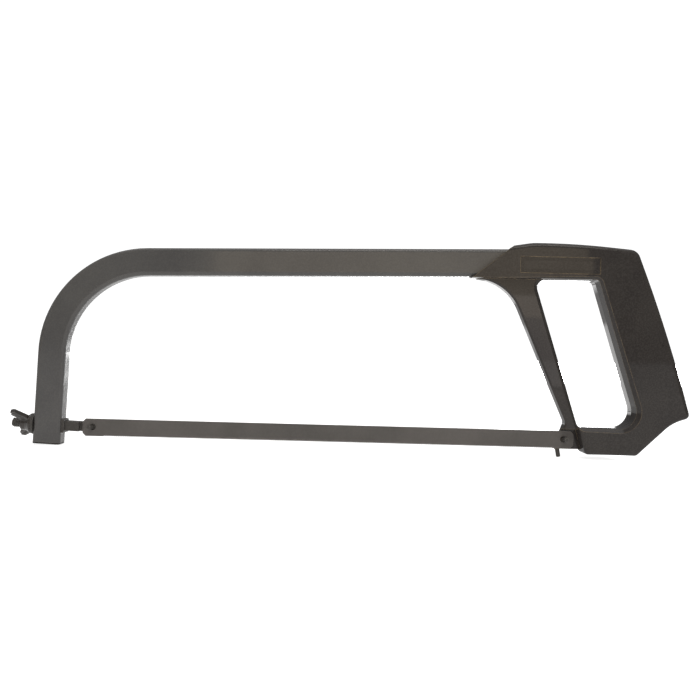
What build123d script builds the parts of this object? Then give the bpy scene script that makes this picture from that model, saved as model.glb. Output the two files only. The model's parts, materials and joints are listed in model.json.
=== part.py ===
from build123d import *
import math
import os

# Hand hacksaw for pipe and bar: a bow of bent rectangular steel tube, a die-cast closed
# handle, a 300 mm blade held on leaning pegs and a wing nut that tensions it.
#
# Frame, in millimetres: +X from the wing nut to the handle, +Y away from the side that the
# blade is loaded from, +Z up from the blade's teeth to the top bar. The origin is the
# middle of the saw's length and thickness, level with its lowest point.

# Blade
HOLE_SPAN = 300.0            # between the peg holes
BLADE_WIDTH = 11.1
BACK_HEIGHT = 5.35           # from the holes' line up to the blade's back
BLADE_THICK = 0.65
BLADE_OVERHANG = 6.5         # from a hole's centre to the blade's end
BLADE_HOLE_R = 2.0
BLADE_CORNER = 2.0
TEETH_PER_INCH = 18
TOOTH_DEPTH = 0.7
REAR_HOLE_X = 137.6
FRONT_HOLE_X = REAR_HOLE_X - HOLE_SPAN
BLADE_Z = 11.6               # height of the holes' line

# Bow of rectangular tube
TUBE_DEPTH = 17.5            # in the plane of the saw
TUBE_THICK = 11.5
TUBE_WALL = 1.2
TUBE_CORNER_R = 2.4
BEND_R = 60.6                # of the centre line
BOW_CORNER = (-186.2, 116.2) # where the two centre lines would meet
ARM_LEAN = 2.1               # degrees, foot of the arm forwards
BAR_RISE = 1.31              # degrees, towards the handle
ARM_RUN = 114.6              # from the corner to the tube's foot
BAR_RUN = 337.1              # from the corner to the tube's rear end
PLUG_FLANGE = 1.0
PLUG_DEPTH = 4.5

# Tension stud, measured along its own axis from the arm's outer face
SHANK = 6.2                  # side of the square shank
THREAD_R = 2.95
STUD_REACH = 14.65           # of the thread in front of the arm
STUD_STEP = 28.1             # behind the outer face, where the half-thick seat starts
STUD_END = 42.3
SEAT_GAP = 0.03              # between a seat and the blade's far face
SLIDE_GAP = 0.06
BUSH_FLANGE = 8.6
BUSH_FLANGE_THICK = 1.8
BUSH_THICK = 7.5
BUSH_HEIGHT = 8.2

# Wing nut and washer
WASHER_R = 6.75
WASHER_THICK = 1.6
NUT_GAP = 0.05
NUT_BORE_R = 3.0
FLANGE_R = 6.5
HUB_R = 4.6
HUB_HEIGHT = 7.4
WING_R = 13.4
WING_HEIGHT = 11.2
WING_THICK = 2.6
WING_TURN = 50.0             # degrees from upright, upper wing towards -Y

# Pegs
PEG_R = 1.4
PEG_LEAN = 10.0              # degrees
PEG_REACH = 4.6              # in front of the seat
PEG_BEARING_GAP = 0.04       # between a peg and the outer side of the blade's hole
PEG_CHAMFER = 0.3
ROOT_R = 1.1                 # of the flush-cut peg's pressed-in spigot
ROOT_DEPTH = 5.5
BOSS_R = 1.9                 # of the low boss square to the flush-cut peg
BOSS_RISE = 0.25             # from the lug's underside, along the peg

# Handle casting
SLEEVE_HALF = (90.0, 8.5)    # half thickness at this X
GRIP_HALF = (200.0, 11.2)
MOUTH_X = 75.4               # lower end of the sleeve's slanted mouth
MOUTH_SLOPE = 0.796          # rise of the mouth's edge per mm rearwards
SLEEVE_UNDERSIDE = 112.3     # height at the mouth
SLEEVE_RISE = 0.0075         # of the underside, towards the rear
BASE_TOP = 19.7
BASE_BOTTOM = 3.2
OPENING_DRAFT = 3.0          # degrees each way from the parting plane
EDGE_R = 3.0
BEVEL_FROM = 8.4             # half thickness where the opening's bevels start
STRUT_REAR_R = 2.5
STRUT_FRONT_R = 1.2
POCKET_GAP = 0.05
STRUT_HALF = 4.5
LUG_BOTTOM = 5.5
SEAT_TOP = 18.5              # underside of the strut above the blade's seat
FLUSH_PEG_X = 134.6
PANEL_BOX = (105.9, 155.7, 116.4, 126.6)   # x from, x to, z from, z to
PANEL_FLOOR = (8.1, 9.6)                   # half thickness at the panel's two ends
SCREW_X = 136.5
SCREW_R = 2.4
SCREW_LENGTH = 5.0
SCREW_RECESS = 0.5
SCREW_SOCKET = 2.5

SEAT_Y = BLADE_THICK / 2 + SEAT_GAP


def along(start, degrees, distance):
    """Point at a distance from start, in the plane of the saw, degrees above +X."""
    angle = math.radians(degrees)
    return (start[0] + distance * math.cos(angle), start[1] + distance * math.sin(angle))


def plate(corners, y_near, y_far):
    """Flat solid from corners (x, z, radius), between two heights in Y."""
    outline = FilletPolyline(*[c[:2] for c in corners], radius=[c[2] for c in corners], close=True)
    return extrude(Plane.XZ.offset(-y_far) * make_face(outline), amount=y_far - y_near)


def in_y(shape):
    """Sort key: where a shape's centre is in Y."""
    return shape.center().Y


# The arm runs down from the corner, the bar runs back from it
ARM_FOOT = along(BOW_CORNER, 270 - ARM_LEAN, ARM_RUN)
BAR_END = along(BOW_CORNER, BAR_RISE, BAR_RUN)

# The stud is square to the arm, and its axis passes through the front hole
ARM_SINE = math.sin(math.radians(ARM_LEAN))
ARM_COSINE = math.cos(math.radians(ARM_LEAN))
HOLE_BEHIND = FRONT_HOLE_X - BOW_CORNER[0]
HOLE_BELOW = BOW_CORNER[1] - BLADE_Z
STUD_DOWN = HOLE_BELOW * ARM_COSINE - HOLE_BEHIND * ARM_SINE
STUD_CROSSING = along(BOW_CORNER, 270 - ARM_LEAN, STUD_DOWN)
OUTER_FACE = along(STUD_CROSSING, 180 - ARM_LEAN, TUBE_DEPTH / 2)

# Local frame of the stud: origin on the arm's outer face, z outwards, x up, y as in the saw
STUD = Plane(
    origin=(OUTER_FACE[0], 0, OUTER_FACE[1]),
    x_dir=(ARM_SINE, 0, ARM_COSINE),
    z_dir=(-ARM_COSINE, 0, ARM_SINE),
)


def stud_box(height, thick, z_from, z_to, y_from=None):
    """Box on the stud's axis between two stations; thick is centred unless y_from is given."""
    y_middle = 0 if y_from is None else y_from + thick / 2
    return STUD * Pos(0, y_middle, (z_from + z_to) / 2) * Box(height, thick, abs(z_to - z_from))


def peg_shift(hole_sign):
    """How far a peg's centre stands outwards of its hole's centre."""
    return hole_sign * (BLADE_HOLE_R - PEG_R - PEG_BEARING_GAP)


def leaning_peg(x, sign, reach, root):
    """Peg through (x, 0, BLADE_Z), leaning outwards by sign towards -Y."""
    lean = math.radians(PEG_LEAN)
    axis = Vector(sign * math.sin(lean), -math.cos(lean), 0)
    start = Vector(x, 0, BLADE_Z) - axis * root
    peg = Plane(origin=start, z_dir=axis) * Cylinder(
        PEG_R, root + reach, align=(Align.CENTER, Align.CENTER, Align.MIN)
    )
    tip = peg.edges().filter_by(GeomType.CIRCLE).sort_by(in_y)[0]
    return chamfer(tip, PEG_CHAMFER)


def tube_blank(depth, thick, corner_r):
    """Solid of a rounded rectangle swept along the bow's centre line."""
    path = FilletPolyline(ARM_FOOT, BOW_CORNER, BAR_END, radius=BEND_R)
    line = Plane.XZ * path
    start = Plane(origin=line @ 0, x_dir=(0, 1, 0), z_dir=line % 0)
    return sweep(start * RectangleRounded(thick, depth, corner_r), path=line)


def frame_tube():
    bow = tube_blank(TUBE_DEPTH, TUBE_THICK, TUBE_CORNER_R)
    bow -= tube_blank(
        TUBE_DEPTH - 2 * TUBE_WALL, TUBE_THICK - 2 * TUBE_WALL, TUBE_CORNER_R - TUBE_WALL
    )
    bow -= stud_box(BUSH_HEIGHT, BUSH_THICK, 1, -TUBE_DEPTH - 1)
    bow -= Pos(SCREW_X, 0, SLEEVE_UNDERSIDE) * Cylinder(SCREW_R + 0.15, 2 * SCREW_LENGTH)
    return bow


def arm_end_plug():
    """Cap pressed into the foot of the arm."""
    foot = Plane(
        origin=(ARM_FOOT[0], 0, ARM_FOOT[1]),
        x_dir=(0, 1, 0),
        z_dir=(-ARM_SINE, 0, -ARM_COSINE),
    )
    wide = RectangleRounded(TUBE_THICK, TUBE_DEPTH, TUBE_CORNER_R)
    flange = extrude(foot * wide, amount=PLUG_FLANGE)
    flange = chamfer(flange.edges().group_by(Axis.Z)[0], 0.3)
    inner = 2 * TUBE_WALL
    narrow = RectangleRounded(TUBE_THICK - inner, TUBE_DEPTH - inner, TUBE_CORNER_R - TUBE_WALL)
    spigot = extrude(foot * narrow, amount=-PLUG_DEPTH)
    hollow = RectangleRounded(TUBE_THICK - inner - 2.4, TUBE_DEPTH - inner - 2.4, 0.4)
    spigot -= extrude(foot.offset(-1.0) * hollow, amount=-PLUG_DEPTH)
    return flange + spigot


def stud_bush():
    """Square sleeve across the arm that guides the shank, with a flange on the inner wall."""
    bore = SHANK + 2 * SLIDE_GAP
    sleeve = stud_box(BUSH_HEIGHT, BUSH_THICK, -TUBE_DEPTH, 0)
    inner_end = -TUBE_DEPTH - BUSH_FLANGE_THICK
    flange = stud_box(BUSH_FLANGE, BUSH_FLANGE, -TUBE_DEPTH, inner_end)
    flange = chamfer(flange.edges().group_by(Axis.X)[-1], 0.5)
    return sleeve + flange - stud_box(bore, bore, 1, inner_end - 1)


def tension_stud():
    """Square shank with a round thread in front and a half-thick blade seat behind."""
    shank_front = -1.0
    shank = stud_box(SHANK, SHANK, shank_front, -STUD_END)
    shank = chamfer(shank.edges().filter_by(lambda e: e.length > 30), 0.35)
    shank = fillet(shank.edges().group_by(Axis.X)[-1].filter_by(lambda e: e.length > 4), 1.2)
    shank -= stud_box(SHANK + 1, SHANK, -STUD_STEP, -STUD_END - 1, y_from=SEAT_Y - SHANK)
    thread = STUD * Pos(0, 0, shank_front - 0.5) * Cylinder(
        THREAD_R, STUD_REACH - shank_front + 0.5, align=(Align.CENTER, Align.CENTER, Align.MIN)
    )
    thread = chamfer(thread.edges().filter_by(GeomType.CIRCLE).sort_by(Axis.X)[0], 0.7)
    return shank + thread - front_peg_blank()


def front_peg_blank():
    return leaning_peg(FRONT_HOLE_X + peg_shift(-1), -1, PEG_REACH, 2.9)


def wing_washer():
    washer = STUD * Cylinder(
        WASHER_R, WASHER_THICK, align=(Align.CENTER, Align.CENTER, Align.MIN)
    )
    washer = chamfer(washer.edges().group_by(Axis.X)[0], 0.3)
    return washer - STUD * Cylinder(THREAD_R + 0.3, 3 * WASHER_THICK)


def wing_nut():
    """Flanged hub with two flared wings on one diameter."""
    seat = STUD.offset(WASHER_THICK + NUT_GAP)
    profile = Polyline(
        (0, 0), (FLANGE_R, 0), (FLANGE_R, 1.3), (HUB_R + 0.9, 2.4), (HUB_R, HUB_HEIGHT),
        (0, HUB_HEIGHT), close=True,
    )
    hub = revolve(Plane.XZ * make_face(profile), Axis.Z)
    hub = fillet(hub.edges().filter_by(GeomType.CIRCLE).group_by(Axis.Z)[-1], 0.8)
    wing_corners = (
        (0, 0.9, 0), (5.6, 0.9, 0), (7.8, 1.9, 1.6), (WING_R, 8.6, 1.8), (12.2, WING_HEIGHT, 1.5),
        (9.2, WING_HEIGHT, 1.4), (6.2, 7.4, 3.0), (3.0, 6.8, 0), (0, 6.8, 0),
    )
    wings = Part()
    for side in (0, 180):
        wings += Rot(0, 0, side) * plate(wing_corners, -WING_THICK / 2, WING_THICK / 2)
    nut = hub + wings - Cylinder(NUT_BORE_R, 4 * HUB_HEIGHT)
    return seat * Rot(0, 0, -WING_TURN) * nut


def tooth_line(x_from, x_to, z_tip):
    """Corners of the teeth along the lower edge, each upright in front and sloped behind."""
    pitch = 25.4 / TEETH_PER_INCH
    count = int((x_to - x_from) / pitch)
    points = []
    for number in range(count):
        x = x_from + number * pitch
        points.append((x, z_tip + TOOTH_DEPTH))
        points.append((x, z_tip))
        points.append((x + pitch * 0.25, z_tip))
    points.append((x_from + count * pitch, z_tip + TOOTH_DEPTH))
    return points


def blade():
    front = FRONT_HOLE_X - BLADE_OVERHANG
    rear = REAR_HOLE_X + BLADE_OVERHANG
    top = BLADE_Z + BACK_HEIGHT
    bottom = top - BLADE_WIDTH
    cut = BLADE_CORNER
    teeth = tooth_line(front + 2 * BLADE_OVERHANG, rear - 2 * BLADE_OVERHANG, bottom)
    outline = [(front, bottom + cut), (front + cut, bottom)]
    outline += [(teeth[0][0], bottom)] + teeth + [(teeth[-1][0], bottom)]
    outline += [(rear - cut, bottom), (rear, bottom + cut)]
    outline += [(rear, top - cut), (rear - cut, top), (front + cut, top), (front, top - cut)]
    face = make_face(Polyline(*outline, close=True))
    strip = extrude(Plane.XZ.offset(-BLADE_THICK / 2) * face, amount=BLADE_THICK)
    for x in (FRONT_HOLE_X, REAR_HOLE_X):
        strip -= Pos(x, 0, BLADE_Z) * Rot(90, 0, 0) * Cylinder(BLADE_HOLE_R, 4 * BLADE_THICK)
    return strip


def half_thickness(x):
    """Half thickness of the handle's flat sides, which taper towards the mouth."""
    slope = (GRIP_HALF[1] - SLEEVE_HALF[1]) / (GRIP_HALF[0] - SLEEVE_HALF[0])
    return SLEEVE_HALF[1] + slope * (x - SLEEVE_HALF[0])


def underside(x):
    """Height of the sleeve's underside at the parting plane."""
    return SLEEVE_UNDERSIDE + SLEEVE_RISE * (x - MOUTH_X)


def runs_along_a_side(edge):
    """Whether an edge bounds one of the handle's flat sides all along."""
    start = edge @ 0
    end = edge @ 1
    return abs(edge.center().Y) > 5 and abs(start.Y - end.Y) < 5


def handle_shell():
    """Sleeve, grip and base in one block with rounded edges, thinner towards the mouth."""
    corners = (
        (60, underside(60), 0), (60, 126.6, 0), (113.5, 135.47, 30), (139.6, 135.75, 450),
        (179.2, 132.25, 7), (199.2, 80.6, 950), (214.45, 27.9, 3.2), (203.5, 24.4, 28),
        (181.5, BASE_BOTTOM, 3.2), (149.6, BASE_BOTTOM, 2.5), (145.1, BASE_TOP, 0),
    )
    block = plate(corners, -15, 15)
    ends = (50, 225)
    plan = [(x, half_thickness(x)) for x in ends] + [(x, -half_thickness(x)) for x in ends[::-1]]
    block &= extrude(make_face(Polyline(*plan, close=True)), amount=200)
    block = fillet(block.edges().filter_by(runs_along_a_side), EDGE_R)
    mouth = (
        (MOUTH_X - 12, SLEEVE_UNDERSIDE - 12 * MOUTH_SLOPE, 0),
        (MOUTH_X + 40, SLEEVE_UNDERSIDE + 40 * MOUTH_SLOPE, 0),
        (40, 150, 0),
    )
    return block - plate(mouth, -20, 20)


def opening_outline(growth):
    """Outline of the finger opening, grown outwards from its size at the parting plane."""
    corners = (
        (60, BASE_TOP, 0), (184.7, BASE_TOP, 11), (155.1, underside(155.1), 3),
        (60, underside(60), 0),
    )
    outline = FilletPolyline(*[c[:2] for c in corners], radius=[c[2] for c in corners], close=True)
    face = make_face(outline)
    return offset(face, growth) if growth else face


def finger_opening():
    """Cutter for the finger opening: drafted both ways, with a bevel at each face."""
    near = extrude(Plane.XZ * opening_outline(0), amount=14, taper=-OPENING_DRAFT)
    growth = BEVEL_FROM * math.tan(math.radians(OPENING_DRAFT))
    start = Plane.XZ.offset(BEVEL_FROM)
    near += extrude(start * opening_outline(growth), amount=14 - BEVEL_FROM, taper=-45)
    return near + mirror(near, Plane.XZ)


def strut_and_lug():
    """Thin front strut, with the lug at its foot cut back to half for the blade's seat."""
    top = SLEEVE_UNDERSIDE + 4
    corners = (
        (60, underside(60), 0), (98.3, underside(98.3), 31), (137.95, 22.5, 4), (135.8, 16.9, 2),
        (131.75, 13.1, 2), (131.75, LUG_BOTTOM, 1.6), (151.5, LUG_BOTTOM, 0), (151.5, BASE_TOP, 0),
        (145.96, BASE_TOP, 3.5), (116.28, underside(116.28), 5), (125, underside(125), 0),
        (125, top, 0), (60, top, 0),
    )
    strut = plate(corners, -STRUT_HALF, STRUT_HALF)
    strut = fillet(strut.edges().filter_by(lambda e: e.length > 80), STRUT_REAR_R)
    strut = fillet(strut.edges().filter_by(lambda e: 70 < e.length < 80), STRUT_FRONT_R)
    # The front and top of the blank only carried the fillets out to clear ends
    strut -= Pos(30, 0, top) * Box(100, 20, 20)
    strut -= Pos(100, 0, SLEEVE_UNDERSIDE + 6.2) * Box(100, 20, 10)
    seat = Pos(140, SEAT_Y - 10, SEAT_TOP - 10) * Box(40, 20, 20)
    seat = fillet(seat.edges().filter_by(Axis.X).sort_by(in_y).group_by(Axis.Z)[-1][-1], 1.2)
    return strut - seat


def name_panel():
    """Cutters for the blank recessed panel on each side of the sleeve."""
    x_from, x_to, z_from, z_to = PANEL_BOX
    plan = [(x_from, PANEL_FLOOR[0]), (x_to, PANEL_FLOOR[1]), (x_to, 20), (x_from, 20)]
    floor = make_face(Polyline(*plan, close=True))
    far = extrude(Plane.XY.offset(z_from) * floor, amount=z_to - z_from)
    return far + mirror(far, Plane.XZ)


def handle_casting():
    casting = handle_shell() - finger_opening() + strut_and_lug() + flush_peg_boss()
    pocket = RectangleRounded(
        TUBE_THICK + 2 * POCKET_GAP, TUBE_DEPTH + 2 * POCKET_GAP, TUBE_CORNER_R + POCKET_GAP
    )
    inward = Plane(
        origin=(BAR_END[0], 0, BAR_END[1]),
        x_dir=(0, 1, 0),
        z_dir=(-math.cos(math.radians(BAR_RISE)), 0, -math.sin(math.radians(BAR_RISE))),
    )
    casting -= extrude(inward.offset(-0.5) * pocket, amount=120)
    casting -= name_panel()
    casting -= rear_peg() + flush_cut_peg() + screw_blank()
    return casting


def rear_peg():
    return leaning_peg(REAR_HOLE_X + peg_shift(1), 1, PEG_REACH, 3.9)


def flush_peg_frame(rise):
    """Plane square to the flush-cut peg, a rise from the lug's underside along the peg."""
    lean = math.radians(PEG_LEAN)
    axis = Vector(math.sin(lean), 0, -math.cos(lean))
    base = Vector(FLUSH_PEG_X, (SEAT_Y + STRUT_HALF) / 2, LUG_BOTTOM)
    return Plane(origin=base + axis * rise, z_dir=axis)


def flush_peg_boss():
    """Low boss that gives the peg's shoulder a face square to the peg."""
    depth = 1.5
    return flush_peg_frame(BOSS_RISE) * Pos(0, 0, -depth / 2) * Cylinder(BOSS_R, depth)


def flush_cut_peg():
    """Second peg under the lug, for a blade turned flat, on a pressed-in spigot."""
    lean = math.radians(PEG_LEAN)
    reach = (LUG_BOTTOM - (PEG_R - PEG_CHAMFER) * math.sin(lean)) / math.cos(lean) - BOSS_RISE
    upwards = (Align.CENTER, Align.CENTER, Align.MIN)
    peg = Cylinder(PEG_R, reach, align=upwards)
    peg = chamfer(peg.edges().filter_by(GeomType.CIRCLE).sort_by(Axis.Z)[-1], PEG_CHAMFER)
    peg += Pos(0, 0, -ROOT_DEPTH) * Cylinder(ROOT_R, ROOT_DEPTH, align=upwards)
    return flush_peg_frame(BOSS_RISE) * peg


def screw_blank():
    base = underside(SCREW_X) + SCREW_RECESS
    return Pos(SCREW_X, 0, base - 2) * Cylinder(
        SCREW_R, SCREW_LENGTH + 2, align=(Align.CENTER, Align.CENTER, Align.MIN)
    )


def handle_screw():
    """Set screw up through the sleeve's underside into the tube's lower wall."""
    base = underside(SCREW_X) + SCREW_RECESS
    screw = Pos(SCREW_X, 0, base) * Cylinder(
        SCREW_R, SCREW_LENGTH, align=(Align.CENTER, Align.CENTER, Align.MIN)
    )
    screw = chamfer(screw.edges().filter_by(GeomType.CIRCLE), 0.4)
    socket = RegularPolygon(SCREW_SOCKET / 2, 6, major_radius=False)
    return screw - extrude(Plane.XY.offset(base) * socket, amount=2)


parts = {
    "frame_tube": frame_tube(),
    "arm_end_plug": arm_end_plug(),
    "stud_bush": stud_bush(),
    "tension_stud": tension_stud(),
    "front_peg": front_peg_blank(),
    "wing_washer": wing_washer(),
    "wing_nut": wing_nut(),
    "blade": blade(),
    "handle_casting": handle_casting(),
    "rear_peg": rear_peg(),
    "flush_cut_peg": flush_cut_peg(),
    "handle_screw": handle_screw(),
}

os.makedirs("parts", exist_ok=True)
for name, shape in parts.items():
    export_step(shape, "parts/" + name + ".step")
    print(name, len(shape.solids()), round(shape.volume, 1), shape.bounding_box())
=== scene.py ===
import json
import math

import bmesh
import bpy
from mathutils import Matrix, Vector


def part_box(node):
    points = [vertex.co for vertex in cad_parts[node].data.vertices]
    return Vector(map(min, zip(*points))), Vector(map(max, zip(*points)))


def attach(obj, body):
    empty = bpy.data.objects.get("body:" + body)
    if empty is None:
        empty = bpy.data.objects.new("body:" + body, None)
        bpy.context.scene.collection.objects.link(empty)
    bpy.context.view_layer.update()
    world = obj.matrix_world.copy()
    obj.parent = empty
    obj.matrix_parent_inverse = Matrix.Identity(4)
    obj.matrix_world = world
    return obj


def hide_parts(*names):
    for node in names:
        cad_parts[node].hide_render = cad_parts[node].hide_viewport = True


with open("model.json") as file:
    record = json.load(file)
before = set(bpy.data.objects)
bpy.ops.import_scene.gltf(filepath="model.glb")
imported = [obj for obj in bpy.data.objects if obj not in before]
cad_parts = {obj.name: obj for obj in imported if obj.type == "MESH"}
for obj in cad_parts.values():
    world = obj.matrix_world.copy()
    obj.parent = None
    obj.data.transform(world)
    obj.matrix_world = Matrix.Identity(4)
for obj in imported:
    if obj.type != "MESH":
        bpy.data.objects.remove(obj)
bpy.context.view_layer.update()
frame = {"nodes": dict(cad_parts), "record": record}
nodes = frame["nodes"]
joints = frame["record"]["behaviour"]["joints"]
nut_turn = next(joint for joint in joints if joint["name"] == "wing_nut_turn")
scene = bpy.context.scene
scene.view_settings.view_transform = "Standard"
MM = 0.001

# Camera
CAMERA_PLACE = (0.3 * MM, -500 * MM, 65 * MM)
CAMERA_ROLL = 1.5               # degrees
LENS = 40.3                     # mm, for the sensor below
SENSOR = 36

# Room that the gloss sees. The ranges are parts of a direction, each from -1 to 1
PAPER = 1.1                     # what shows behind the saw
ROOM = 0.3                      # brightness all round
CEILING = 0.5                   # more of it overhead
CEILING_HEIGHT = (0.2, 0.9)     # from none of it to all of it, going up
BACKDROP = 23                   # a low lit card behind the saw and to the right, and the floor's far card
BACKDROP_ACROSS = (-0.36, 0.3)  # from dark on the left to full on the right
BACKDROP_DEPTH = (0.918, 0.938) # from dark to full, towards straight behind the saw
BACKDROP_HEIGHT = (0.03, 0.09)  # from full to dark, going up

# Floor, and the two brighter cards on it behind the saw, in mm
FLOOR_HALF = 8                  # metres
FLOOR_COLOUR = (0.55, 0.55, 0.55, 1)
FLOOR_GLOW = 0.8
FAR_CARD_FRONT = (1300, 1800)       # from dark to full, going back
FAR_CARD_ACROSS = (-0.36, 0.36)     # x over y, from dark to full
NEAR_CARD_GLOW = 2.4
NEAR_CARD_SLANT = 3.31              # how much of x is added to y for its slanted front edge
NEAR_CARD_FRONT = (555, 635)        # from dark to full, in that sum
NEAR_CARD_BACK = (700, 760)         # from full to dark, going back
NEAR_CARD_LEFT = (0, 20)
NEAR_CARD_RIGHT = (190, 160)

# Lights, in metres, and their colours
FRONT = -0.9                    # y of the cards in front of the saw
STRIP_AIM = (0.1, 0, 0.07)
STRIP_SIZE = (0.12, 0.7)
WHITE = (1, 1, 1)
CREAM = (1, 0.95, 0.88)
AMBER = (1, 0.82, 0.58)
GOLD = (1, 0.8, 0.5)
PALE_GOLD = (1, 0.85, 0.6)
ROSE = (1, 0.92, 0.88)

# Noises in the paints: scale per metre, detail, and the levels stretched to none and full
NOISE_ROUGHNESS = 0.55
CLOUD = (22, 3, 0.35, 0.65)
SPECK = (1100, 2, 0.42, 0.62)
SPECK_SHARE = 0.05
SPECK_COLOUR = (0.2, 0.19, 0.18, 1)
# Noise for the lighter edges, which are partly worn paint and partly a painted highlight
EDGE_WEAR_AND_HIGHLIGHT_NOISE = (260, 4, 0.32, 0.62)
EDGE_WEAR_AND_HIGHLIGHT_LEAST = 0.25              # how much of an edge's worn lightening and painted highlight is left where the noise is low
DULLING = (140, 4, 0.3, 0.7)
SMOOTHER = 0.05                 # roughness taken off and put on by the dulling
DULLER = 0.07
PEEL_STRENGTH = 0.16            # orange-peel skin
PEEL_DEPTH = 0.1 * MM
PEEL_DETAIL = 3
RELIEF_DEPTH = 0.25 * MM
EDGE_TURN = (0.995, 0.94)       # cosine between flat and rounded normal, from no edge to full edge
EDGE_SAMPLES = 6
LINE_CORE = 0.4                 # share of a line's half width that is full

# Relief of the casting in mm, x from the box's front end and z from its top. A rise or a sink is a
# share of RELIEF_DEPTH
PANEL_X = (30.5, 80.3)
PANEL_Z = (-19.14, -8.94)
BORDER_INSET = 1.9
BORDER_HALF_WIDTH = 0.45
BORDER_RISE = 1.4
PARTING_HALF_WIDTH = 0.22
PARTING_RISE = 0.8
EJECTOR_MARKS = ((102.7, -20.1, 1.7), (128.6, -104.5, 1.9), (121.5, -62.0, 1.7))    # x, z, radius
EJECTOR_HALF_WIDTH = 0.3
EJECTOR_SINK = 0.7

# Teeth of the blade
GULLET = 0.7 * MM               # above the tips
SET_TOP = 1.5 * MM              # above this height over the tips the strip is flat
SET = 0.16 * MM                 # how far the tips lean to each side
SET_WAVE = 11.3 * MM
SET_END = 13 * MM               # the set stops this far from each end

# Thread of the stud in mm. Stations run outwards from the arm's outer face
THREAD_START = -0.8             # the CAD stud is cut off here
THREAD_TIP = 14.6
THREAD_STEP = 0.11
THREAD_SIDES = 36
THREAD_RADIUS = 2.94
THREAD_DEPTH = 0.54
THREAD_FLANK = 0.42             # half width of the groove, in turns
THREAD_PLAIN_TO = 1.2           # no groove up to here
TIP_RADIUS = 2.3
TIP_SLOPE = 1.1                 # growth of the radius for each mm in from the tip

# Wing nut in mm, as (radius, station) from its seat on the washer
NUT_SEAT = 1.65                 # station of the seat
HUB_SIDES = 64
HUB = ((3.05, 0), (6.4, 0), (6.4, 1.2), (5.6, 2.3), (4.7, 4.0), (4.55, 6.9), (4.0, 7.4), (3.05, 7.4))
WING = (
    (3.6, 1.0), (5.6, 1.0), (7.8, 2.0), (13.1, 8.2), (13.2, 8.9), (12.6, 10.9), (12.0, 11.1),
    (11.1, 10.3), (10.3, 11.1), (9.2, 10.9), (6.3, 7.5), (3.6, 6.9),
)
WING_TURN = -50                 # degrees
WING_HALF_THICK = 1.45
WING_TAPER = 0.012              # share of the thickness lost for each mm outwards
RIB = ((-0.3, -0.6), (0.3, 0), (-0.5, 2.2), (-1.1, 1.6))    # from the rib's middle and foot
RIB_COUNT = 4
RIB_FIRST = 7.6
RIB_PITCH = 1.25
RIB_DROP = 3.3                  # the foot's station is this much less than the middle's radius
RIB_HALF_THICK = 1.8
BLEND_VOXEL = 0.2 * MM
SOFTEN_FACTOR = 0.5
SOFTEN_ROUNDS = 6

WELD = 0.002 * MM               # points closer than this are joined

# Local frame of the stud: origin on the arm's outer face, z outwards, x up, y as in the saw
STUD_OUT = Vector(nut_turn["axis"]).normalized()
STUD_UP = Vector((STUD_OUT.z, 0, -STUD_OUT.x))
STUD_FRAME = Matrix((STUD_UP, Vector((0, 1, 0)), STUD_OUT)).transposed().to_4x4()
STUD_FRAME.translation = Vector(nut_turn["pos_m"])


# ---------------------------------------------------------------- node trees
class Tree:
    """Short way to write a node tree: calls return a socket that other calls take."""

    def __init__(self, owner, coordinates):
        owner.use_nodes = True
        self.nodes = owner.node_tree.nodes
        self.links = owner.node_tree.links
        self.place = self.nodes.new("ShaderNodeTexCoord").outputs[coordinates]

    def put(self, socket, value):
        """Link a socket to a value that is itself a socket, or set it."""
        if isinstance(value, bpy.types.NodeSocket):
            self.links.new(value, socket)
        else:
            socket.default_value = value

    def side(self, number):
        """One coordinate of the place or direction."""
        split = self.nodes.new("ShaderNodeSeparateXYZ")
        self.put(split.inputs[0], self.place)
        return split.outputs[number]

    def span(self, value, low, high, to_low=0.0, to_high=1.0):
        """A value between low and high, mapped to between to_low and to_high and held at both ends."""
        node = self.nodes.new("ShaderNodeMapRange")
        self.put(node.inputs["Value"], value)
        node.inputs["From Min"].default_value = low
        node.inputs["From Max"].default_value = high
        node.inputs["To Min"].default_value = to_low
        node.inputs["To Max"].default_value = to_high
        return node.outputs[0]

    def math(self, operation, first, second=0.0):
        node = self.nodes.new("ShaderNodeMath")
        node.operation = operation
        self.put(node.inputs[0], first)
        self.put(node.inputs[1], second)
        return node.outputs[0]


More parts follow.
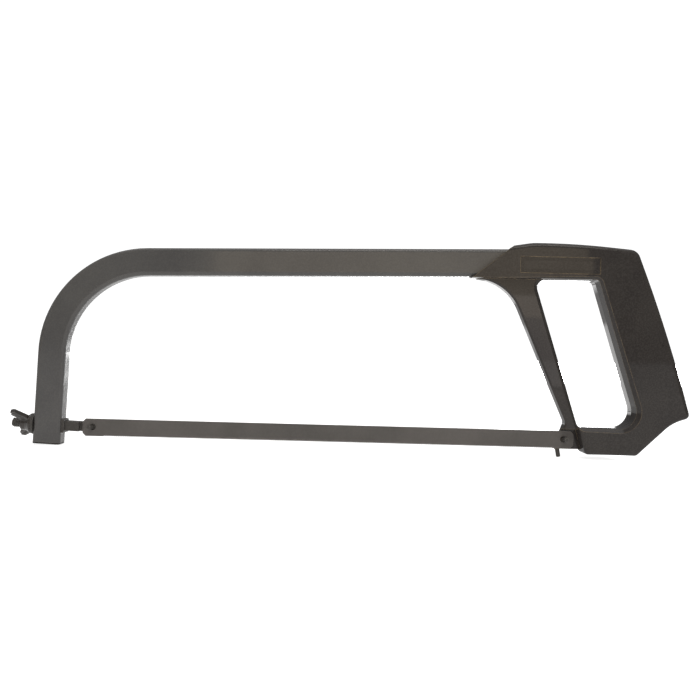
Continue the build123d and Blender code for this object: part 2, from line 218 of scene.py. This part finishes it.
class Look(Tree):
    """Node tree of one material."""

    def __init__(self, name):
        self.material = bpy.data.materials.new(name)
        super().__init__(self.material, "Object")
        self.bsdf = self.nodes["Principled BSDF"]

    def axis(self, number):
        """One coordinate of the surface point, in millimetres."""
        return self.math("MULTIPLY", self.side(number), 1 / MM)

    def noise(self, scale, detail):
        texture = self.nodes.new("ShaderNodeTexNoise")
        texture.inputs["Scale"].default_value = scale
        texture.inputs["Detail"].default_value = detail
        texture.inputs["Roughness"].default_value = NOISE_ROUGHNESS
        self.put(texture.inputs["Vector"], self.place)
        return texture.outputs[0]

    def patches(self, scale, detail, low, high, to_low=0.0, to_high=1.0):
        """Noise with its levels stretched, so that it has flat patches."""
        return self.span(self.noise(scale, detail), low, high, to_low, to_high)

    def rounded(self, radius):
        """Normal with its edges rounded over, and how near an edge the surface is, from 0 to 1."""
        bevel = self.nodes.new("ShaderNodeBevel")
        bevel.samples = EDGE_SAMPLES
        bevel.inputs["Radius"].default_value = radius
        dot = self.nodes.new("ShaderNodeVectorMath")
        dot.operation = "DOT_PRODUCT"
        self.put(dot.inputs[0], bevel.outputs[0])
        self.put(dot.inputs[1], self.nodes.new("ShaderNodeNewGeometry").outputs["Normal"])
        return bevel.outputs[0], self.span(dot.outputs["Value"], *EDGE_TURN)

    def mix(self, share, first, second):
        """Blend of two colours; 6, 7 and 2 are the Mix node's colour sockets."""
        node = self.nodes.new("ShaderNodeMix")
        node.data_type = "RGBA"
        self.put(node.inputs[0], share)
        self.put(node.inputs[6], first)
        self.put(node.inputs[7], second)
        return node.outputs[2]

    def bump(self, height, strength, distance, under):
        node = self.nodes.new("ShaderNodeBump")
        node.inputs["Strength"].default_value = strength
        node.inputs["Distance"].default_value = distance
        self.put(node.inputs["Height"], height)
        self.put(node.inputs["Normal"], under)
        return node.outputs[0]

    def line(self, distance, half_width):
        """1 on a line and 0 from half_width away, for a distance in millimetres."""
        return self.span(self.math("ABSOLUTE", distance), half_width, half_width * LINE_CORE)

    def set(self, **inputs):
        names = {
            "colour": "Base Color", "rough": "Roughness", "normal": "Normal",
            "specular": "Specular IOR Level", "coat": "Coat Weight", "coat_rough": "Coat Roughness",
            "glow": "Emission Strength", "glow_colour": "Emission Color",
        }
        for key, value in inputs.items():
            self.put(self.bsdf.inputs[names[key]], value)
        return self.material


# ---------------------------------------------------------------- camera, light and floor
def make_camera():
    roll = math.radians(CAMERA_ROLL)
    right = Vector((math.cos(roll), 0, math.sin(roll)))
    up = Vector((-math.sin(roll), 0, math.cos(roll)))
    back = right.cross(up)
    turn = Matrix((right, up, back)).transposed().to_4x4()
    data = bpy.data.cameras.new("camera")
    data.lens = LENS
    data.sensor_width = SENSOR
    data.clip_start = 10 * MM
    camera = bpy.data.objects.new("camera", data)
    camera.matrix_world = Matrix.Translation(CAMERA_PLACE) @ turn
    scene.collection.objects.link(camera)
    scene.camera = camera


def make_world():
    """Plain white paper behind, and for the gloss a dim room with a lit card behind the saw."""
    world = bpy.data.worlds.new("studio")
    tree = Tree(world, "Generated")
    x, y, z = (tree.side(number) for number in range(3))
    across = tree.span(x, *BACKDROP_ACROSS, 0, BACKDROP)
    card = tree.math("MULTIPLY", across, tree.span(y, *BACKDROP_DEPTH))
    card = tree.math("MULTIPLY", card, tree.span(z, *BACKDROP_HEIGHT, 1, 0))
    room = tree.span(z, *CEILING_HEIGHT, ROOM, ROOM + CEILING)
    shown = tree.nodes.new("ShaderNodeMix")     # 2 and 3 are its plain number sockets
    tree.put(shown.inputs[0], tree.nodes.new("ShaderNodeLightPath").outputs["Is Camera Ray"])
    tree.put(shown.inputs[2], tree.math("ADD", card, room))
    tree.put(shown.inputs[3], PAPER)
    background = tree.nodes["Background"]
    tree.put(background.inputs["Strength"], shown.outputs[0])
    tree.put(background.inputs["Color"], (*WHITE, 1))
    scene.world = world


def area_light(name, place, aim, size, watts, colour):
    data = bpy.data.lights.new(name, "AREA")
    data.shape = "RECTANGLE"
    data.size, data.size_y = size
    data.energy = watts
    data.color = colour
    light = bpy.data.objects.new(name, data)
    light.location = place
    light.rotation_euler = (Vector(aim) - Vector(place)).to_track_quat("-Z", "Y").to_euler()
    scene.collection.objects.link(light)


def make_lights():
    """Soft light from above, and cards round the saw that its faces mirror."""
    area_light("key", place=(0.2, -0.85, 1.35), aim=(0, 0, 0.08), size=(0.9, 0.4), watts=7, colour=CREAM)
    area_light("top", place=(0, 0.05, 1.1), aim=(0, 0, 0), size=(1.4, 0.5), watts=4, colour=WHITE)
    area_light(
        "warm_card", place=(0.06, FRONT, 0.28), aim=(0.06, 0, 0.12), size=(0.62, 0.3), watts=1.02,
        colour=AMBER)
    area_light(
        "left_front_strip", place=(-1.0, FRONT, 0.2), aim=STRIP_AIM, size=STRIP_SIZE, watts=0.4,
        colour=GOLD)
    area_light(
        "left_back_strip", place=(-1.1, 0.75, 0.2), aim=STRIP_AIM, size=STRIP_SIZE, watts=0.25,
        colour=PALE_GOLD)
    area_light(
        "strut_card", place=(0.31, FRONT, 0.09), aim=(0.12, 0, 0.07), size=(0.16, 0.16), watts=0.16,
        colour=ROSE)


def make_floor(material):
    mesh = bpy.data.meshes.new("floor")
    form = bmesh.new()
    bmesh.ops.create_grid(form, x_segments=1, y_segments=1, size=FLOOR_HALF)
    form.to_mesh(mesh)
    form.free()
    floor = bpy.data.objects.new("floor", mesh)
    mesh.materials.append(material)
    scene.collection.objects.link(floor)


# ---------------------------------------------------------------- materials
def floor_material():
    """Pale paper that glows evenly, with two brighter cards on it, lost against the white behind."""
    look = Look("floor_pale")
    x, y = look.axis(0), look.axis(1)
    across = look.span(look.math("DIVIDE", x, y), *FAR_CARD_ACROSS, 0, BACKDROP)
    far_card = look.math("MULTIPLY", look.span(y, *FAR_CARD_FRONT), across)
    slanted = look.math("ADD", y, look.math("MULTIPLY", x, NEAR_CARD_SLANT))
    sides = look.math("MULTIPLY", look.span(x, *NEAR_CARD_LEFT), look.span(x, *NEAR_CARD_RIGHT))
    near_card = look.math("MULTIPLY", look.span(slanted, *NEAR_CARD_FRONT), sides)
    near_card = look.math("MULTIPLY", near_card, look.span(y, *NEAR_CARD_BACK, NEAR_CARD_GLOW, 0))
    glow = look.math("ADD", look.math("ADD", far_card, near_card), FLOOR_GLOW)
    return look.set(colour=FLOOR_COLOUR, rough=0.8, specular=0.1, glow=glow, glow_colour=(*WHITE, 1))


def grey(red, green, blue):
    """Screen colour, each part from 11 to 255, as the linear colour a shader takes."""
    return (*(((part / 255 + 0.055) / 1.055) ** 2.4 for part in (red, green, blue)), 1)


def paint(name, dark, light, rough, grain, edge, specular=0.1, coat=0.0, coat_rough=0.1, relief=None,
          round_over=0.3, edge_wear_and_highlight_share=0.6):
    """Satin paint: cloudy tone, fine speckle, an orange-peel skin, and lighter edges, partly worn paint
    and partly a painted highlight.
    """
    look = Look(name)
    soft, near_edge = look.rounded(round_over * MM)
    speck = look.math("MULTIPLY", look.patches(*SPECK), SPECK_SHARE)
    edge_wear_and_highlight = look.math("MULTIPLY", near_edge, look.patches(*EDGE_WEAR_AND_HIGHLIGHT_NOISE, EDGE_WEAR_AND_HIGHLIGHT_LEAST, 1.0))
    colour = look.mix(look.patches(*CLOUD), dark, light)
    colour = look.mix(speck, colour, SPECK_COLOUR)
    # Edges are lightened towards the edge colour: partly worn paint, partly a painted highlight standing
    # in for light caught on rounded edges.
    colour = look.mix(look.math("MULTIPLY", edge_wear_and_highlight, edge_wear_and_highlight_share), colour, edge)
    worn = look.patches(*DULLING, rough - SMOOTHER, rough + DULLER)
    normal = look.bump(look.noise(grain, PEEL_DETAIL), PEEL_STRENGTH, PEEL_DEPTH, soft)
    if relief:
        normal = look.bump(relief(look), strength=1.0, distance=RELIEF_DEPTH, under=normal)
    look.set(colour=colour, rough=worn, normal=normal, specular=specular)
    if coat:
        look.set(coat=coat, coat_rough=coat_rough)
    return look.material


def inside(look, value, ends, start):
    """How far a value is inside a range whose ends are measured from start."""
    low, high = (start / MM + end for end in ends)
    return look.math("MINIMUM", look.math("SUBTRACT", value, low), look.math("SUBTRACT", high, value))


def casting_relief(look):
    """Parting line, the panel's raised border and ejector marks of the die casting."""
    low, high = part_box("handle_casting")
    x, y, z = (look.axis(number) for number in range(3))
    inset = look.math("MINIMUM", inside(look, x, PANEL_X, low[0]), inside(look, z, PANEL_Z, high[2]))
    border = look.line(look.math("SUBTRACT", inset, BORDER_INSET), BORDER_HALF_WIDTH)
    parting = look.line(y, PARTING_HALF_WIDTH)
    height = look.math("MULTIPLY", border, BORDER_RISE)
    height = look.math("ADD", height, look.math("MULTIPLY", parting, PARTING_RISE))
    for mark_x, mark_z, radius in EJECTOR_MARKS:
        across = look.math("POWER", look.math("SUBTRACT", x, low[0] / MM + mark_x), 2.0)
        upward = look.math("POWER", look.math("SUBTRACT", z, high[2] / MM + mark_z), 2.0)
        ring = look.math("SUBTRACT", look.math("SQRT", look.math("ADD", across, upward)), radius)
        groove = look.line(ring, EJECTOR_HALF_WIDTH)
        height = look.math("SUBTRACT", height, look.math("MULTIPLY", groove, EJECTOR_SINK))
    return height


# Each edge colour and its share are partly worn paint and partly a painted highlight; the casting's warm
# gold edge colour paints the highlight lines along its bevels.
bow_paint = paint(
    "bow_paint_look", grey(63, 62, 62), grey(71, 70, 69), rough=0.4, grain=1500,
    edge=grey(150, 146, 138), specular=0.05, coat=0.45, edge_wear_and_highlight_share=0.55)
casting_paint = paint(
    "casting_paint_look", grey(39, 36, 35), grey(47, 44, 42), rough=0.42, grain=1100,
    edge=grey(118, 104, 84), specular=0.0, coat=0.35, coat_rough=0.04, relief=casting_relief,
    round_over=0.6, edge_wear_and_highlight_share=0.8)
blade_paint = paint(
    "blade_paint_look", grey(75, 73, 71), grey(85, 82, 80), rough=0.42, grain=1300,
    edge=grey(150, 146, 142))
steel = paint(
    "steel_look", grey(52, 50, 48), grey(66, 64, 62), rough=0.4, grain=1500,
    edge=grey(150, 148, 146), round_over=0.2)
nut_coat = paint(
    "nut_coat_look", grey(38, 35, 33), grey(50, 46, 43), rough=0.3, grain=700,
    edge=grey(135, 130, 124), coat=0.4)
plastic = paint(
    "plastic_look", grey(38, 37, 36), grey(46, 45, 44), rough=0.5, grain=900,
    edge=grey(70, 70, 70))
LOOKS = {
    "frame_tube": bow_paint, "arm_end_plug": plastic, "stud_bush": steel, "front_peg": steel,
    "wing_washer": steel, "handle_casting": casting_paint, "rear_peg": steel, "flush_cut_peg": steel,
    "handle_screw": steel,
}
for name, material in LOOKS.items():
    nodes[name].data.materials.clear()
    nodes[name].data.materials.append(material)


# ---------------------------------------------------------------- mesh helpers
def add_piece(name, form, body, material, stands_for):
    mesh = bpy.data.meshes.new(name)
    form.to_mesh(mesh)
    form.free()
    piece = bpy.data.objects.new(name, mesh)
    mesh.materials.append(material)
    scene.collection.objects.link(piece)
    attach(piece, body)
    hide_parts(stands_for)
    return piece


def copy_of(node):
    form = bmesh.new()
    form.from_mesh(nodes[node].data)
    bmesh.ops.remove_doubles(form, verts=form.verts, dist=WELD)
    return form


def cut(form, point, normal, keep_both=True):
    """Cut along a plane; unless both sides are kept, what lies beyond it goes and the hole is closed."""
    parts = form.verts[:] + form.edges[:] + form.faces[:]
    result = bmesh.ops.bisect_plane(
        form, geom=parts, plane_co=point, plane_no=normal, clear_outer=not keep_both)
    if not keep_both:
        rim = [part for part in result["geom_cut"] if isinstance(part, bmesh.types.BMEdge)]
        bmesh.ops.holes_fill(form, edges=rim)


def angle_of(step, count):
    """Angle of one of count equal steps round a circle."""
    return 2 * math.pi * step / count


def ring_of(form, station, radii):
    """Ring of points round the stud's axis, with a radius for each."""
    ring = []
    for step, radius in enumerate(radii):
        angle = angle_of(step, len(radii))
        point = Vector((radius * math.cos(angle) * MM, radius * math.sin(angle) * MM, station * MM))
        ring.append(form.verts.new(STUD_FRAME @ point))
    return ring


def band(form, first, second):
    """Faces all the way round between two rings of points."""
    count = len(first)
    for step in range(count):
        after = (step + 1) % count
        form.faces.new((first[step], first[after], second[after], second[step]))


def prism(form, outline, half_thick, turn):
    """Solid from an outline of (radius, station) points, with equal thickness to both sides."""
    rims = []
    for side in (-half_thick, half_thick):
        rim = []
        for radius, station in outline:
            point = Vector((radius * MM, side * (1 - WING_TAPER * radius) * MM, station * MM))
            rim.append(form.verts.new(STUD_FRAME @ Matrix.Rotation(turn, 4, "Z") @ point))
        rims.append(rim)
    form.faces.new(rims[0][::-1])
    form.faces.new(rims[1])
    band(form, *rims)


# ---------------------------------------------------------------- pieces
def make_blade():
    """The strip with its teeth set to the two sides in a wave."""
    low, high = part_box("blade")
    form = copy_of("blade")
    gullet = low[2] + GULLET
    bend = low[2] + SET_TOP
    for height in (gullet, (gullet + bend) / 2, bend):
        cut(form, (0, 0, height), (0, 0, 1))
    start = low[0] + SET_END
    end = high[0] - SET_END
    for vert in form.verts:
        if vert.co.z < bend and start < vert.co.x < end:
            share = min(1, (bend - vert.co.z) / (bend - gullet))
            vert.co.y += SET * share * math.sin(2 * math.pi * (vert.co.x - start) / SET_WAVE)
    add_piece("toothed_blade", form, "strip", blade_paint, "blade")


def thread_radius(station, angle):
    """Radius of a right-hand thread with a pitch of 1 mm, tapered at its tip."""
    turn = (station - angle / (2 * math.pi)) % 1.0
    groove = 0.0
    if station > THREAD_PLAIN_TO:
        groove = THREAD_DEPTH * (1 - min(1, abs(turn - 0.5) / THREAD_FLANK))
    return min(THREAD_RADIUS, TIP_RADIUS + max(0, THREAD_TIP - station) * TIP_SLOPE) - groove


def make_stud():
    """Square shank of the CAD stud with a real thread in front of the arm."""
    form = copy_of("tension_stud")
    cut(form, STUD_FRAME @ Vector((0, 0, THREAD_START * MM)), STUD_OUT, keep_both=False)
    angles = [angle_of(step, THREAD_SIDES) for step in range(THREAD_SIDES)]
    rings = []
    for step in range(int((THREAD_TIP - THREAD_START) / THREAD_STEP) + 1):
        station = THREAD_START + THREAD_STEP * step
        rings.append(ring_of(form, station, [thread_radius(station, angle) for angle in angles]))
    for first, second in zip(rings, rings[1:]):
        band(form, first, second)
    form.faces.new(rings[-1])
    form.faces.new(rings[0][::-1])
    bmesh.ops.recalc_face_normals(form, faces=form.faces)
    add_piece("threaded_stud", form, "stud", steel, "tension_stud")


def add_wing(form, turn):
    """One wing with a notched tip, and its ribs."""
    prism(form, [(radius, NUT_SEAT + station) for radius, station in WING], WING_HALF_THICK, turn)
    for number in range(RIB_COUNT):
        middle = RIB_FIRST + RIB_PITCH * number
        foot = middle - RIB_DROP
        rib = [(middle + outwards, NUT_SEAT + foot + onwards) for outwards, onwards in RIB]
        prism(form, rib, RIB_HALF_THICK, turn)


def make_nut():
    """Cast wing nut: hub with a flange, two ribbed wings, blended together."""
    form = bmesh.new()
    rings = [ring_of(form, NUT_SEAT + station, [radius] * HUB_SIDES) for radius, station in HUB]
    for first, second in zip(rings, rings[1:] + rings[:1]):
        band(form, first, second)
    for side in (0, math.pi):
        add_wing(form, math.radians(WING_TURN) + side)
    bmesh.ops.recalc_face_normals(form, faces=form.faces)
    nut = add_piece("cast_wing_nut", form, "nut", nut_coat, "wing_nut")
    blend = nut.modifiers.new("one_casting", "REMESH")
    blend.mode = "VOXEL"
    blend.voxel_size = BLEND_VOXEL
    blend.use_smooth_shade = True
    soften = nut.modifiers.new("soften", "SMOOTH")
    soften.factor = SOFTEN_FACTOR
    soften.iterations = SOFTEN_ROUNDS


make_blade()
make_stud()
make_nut()
make_camera()
make_world()
make_floor(floor_material())
make_lights()
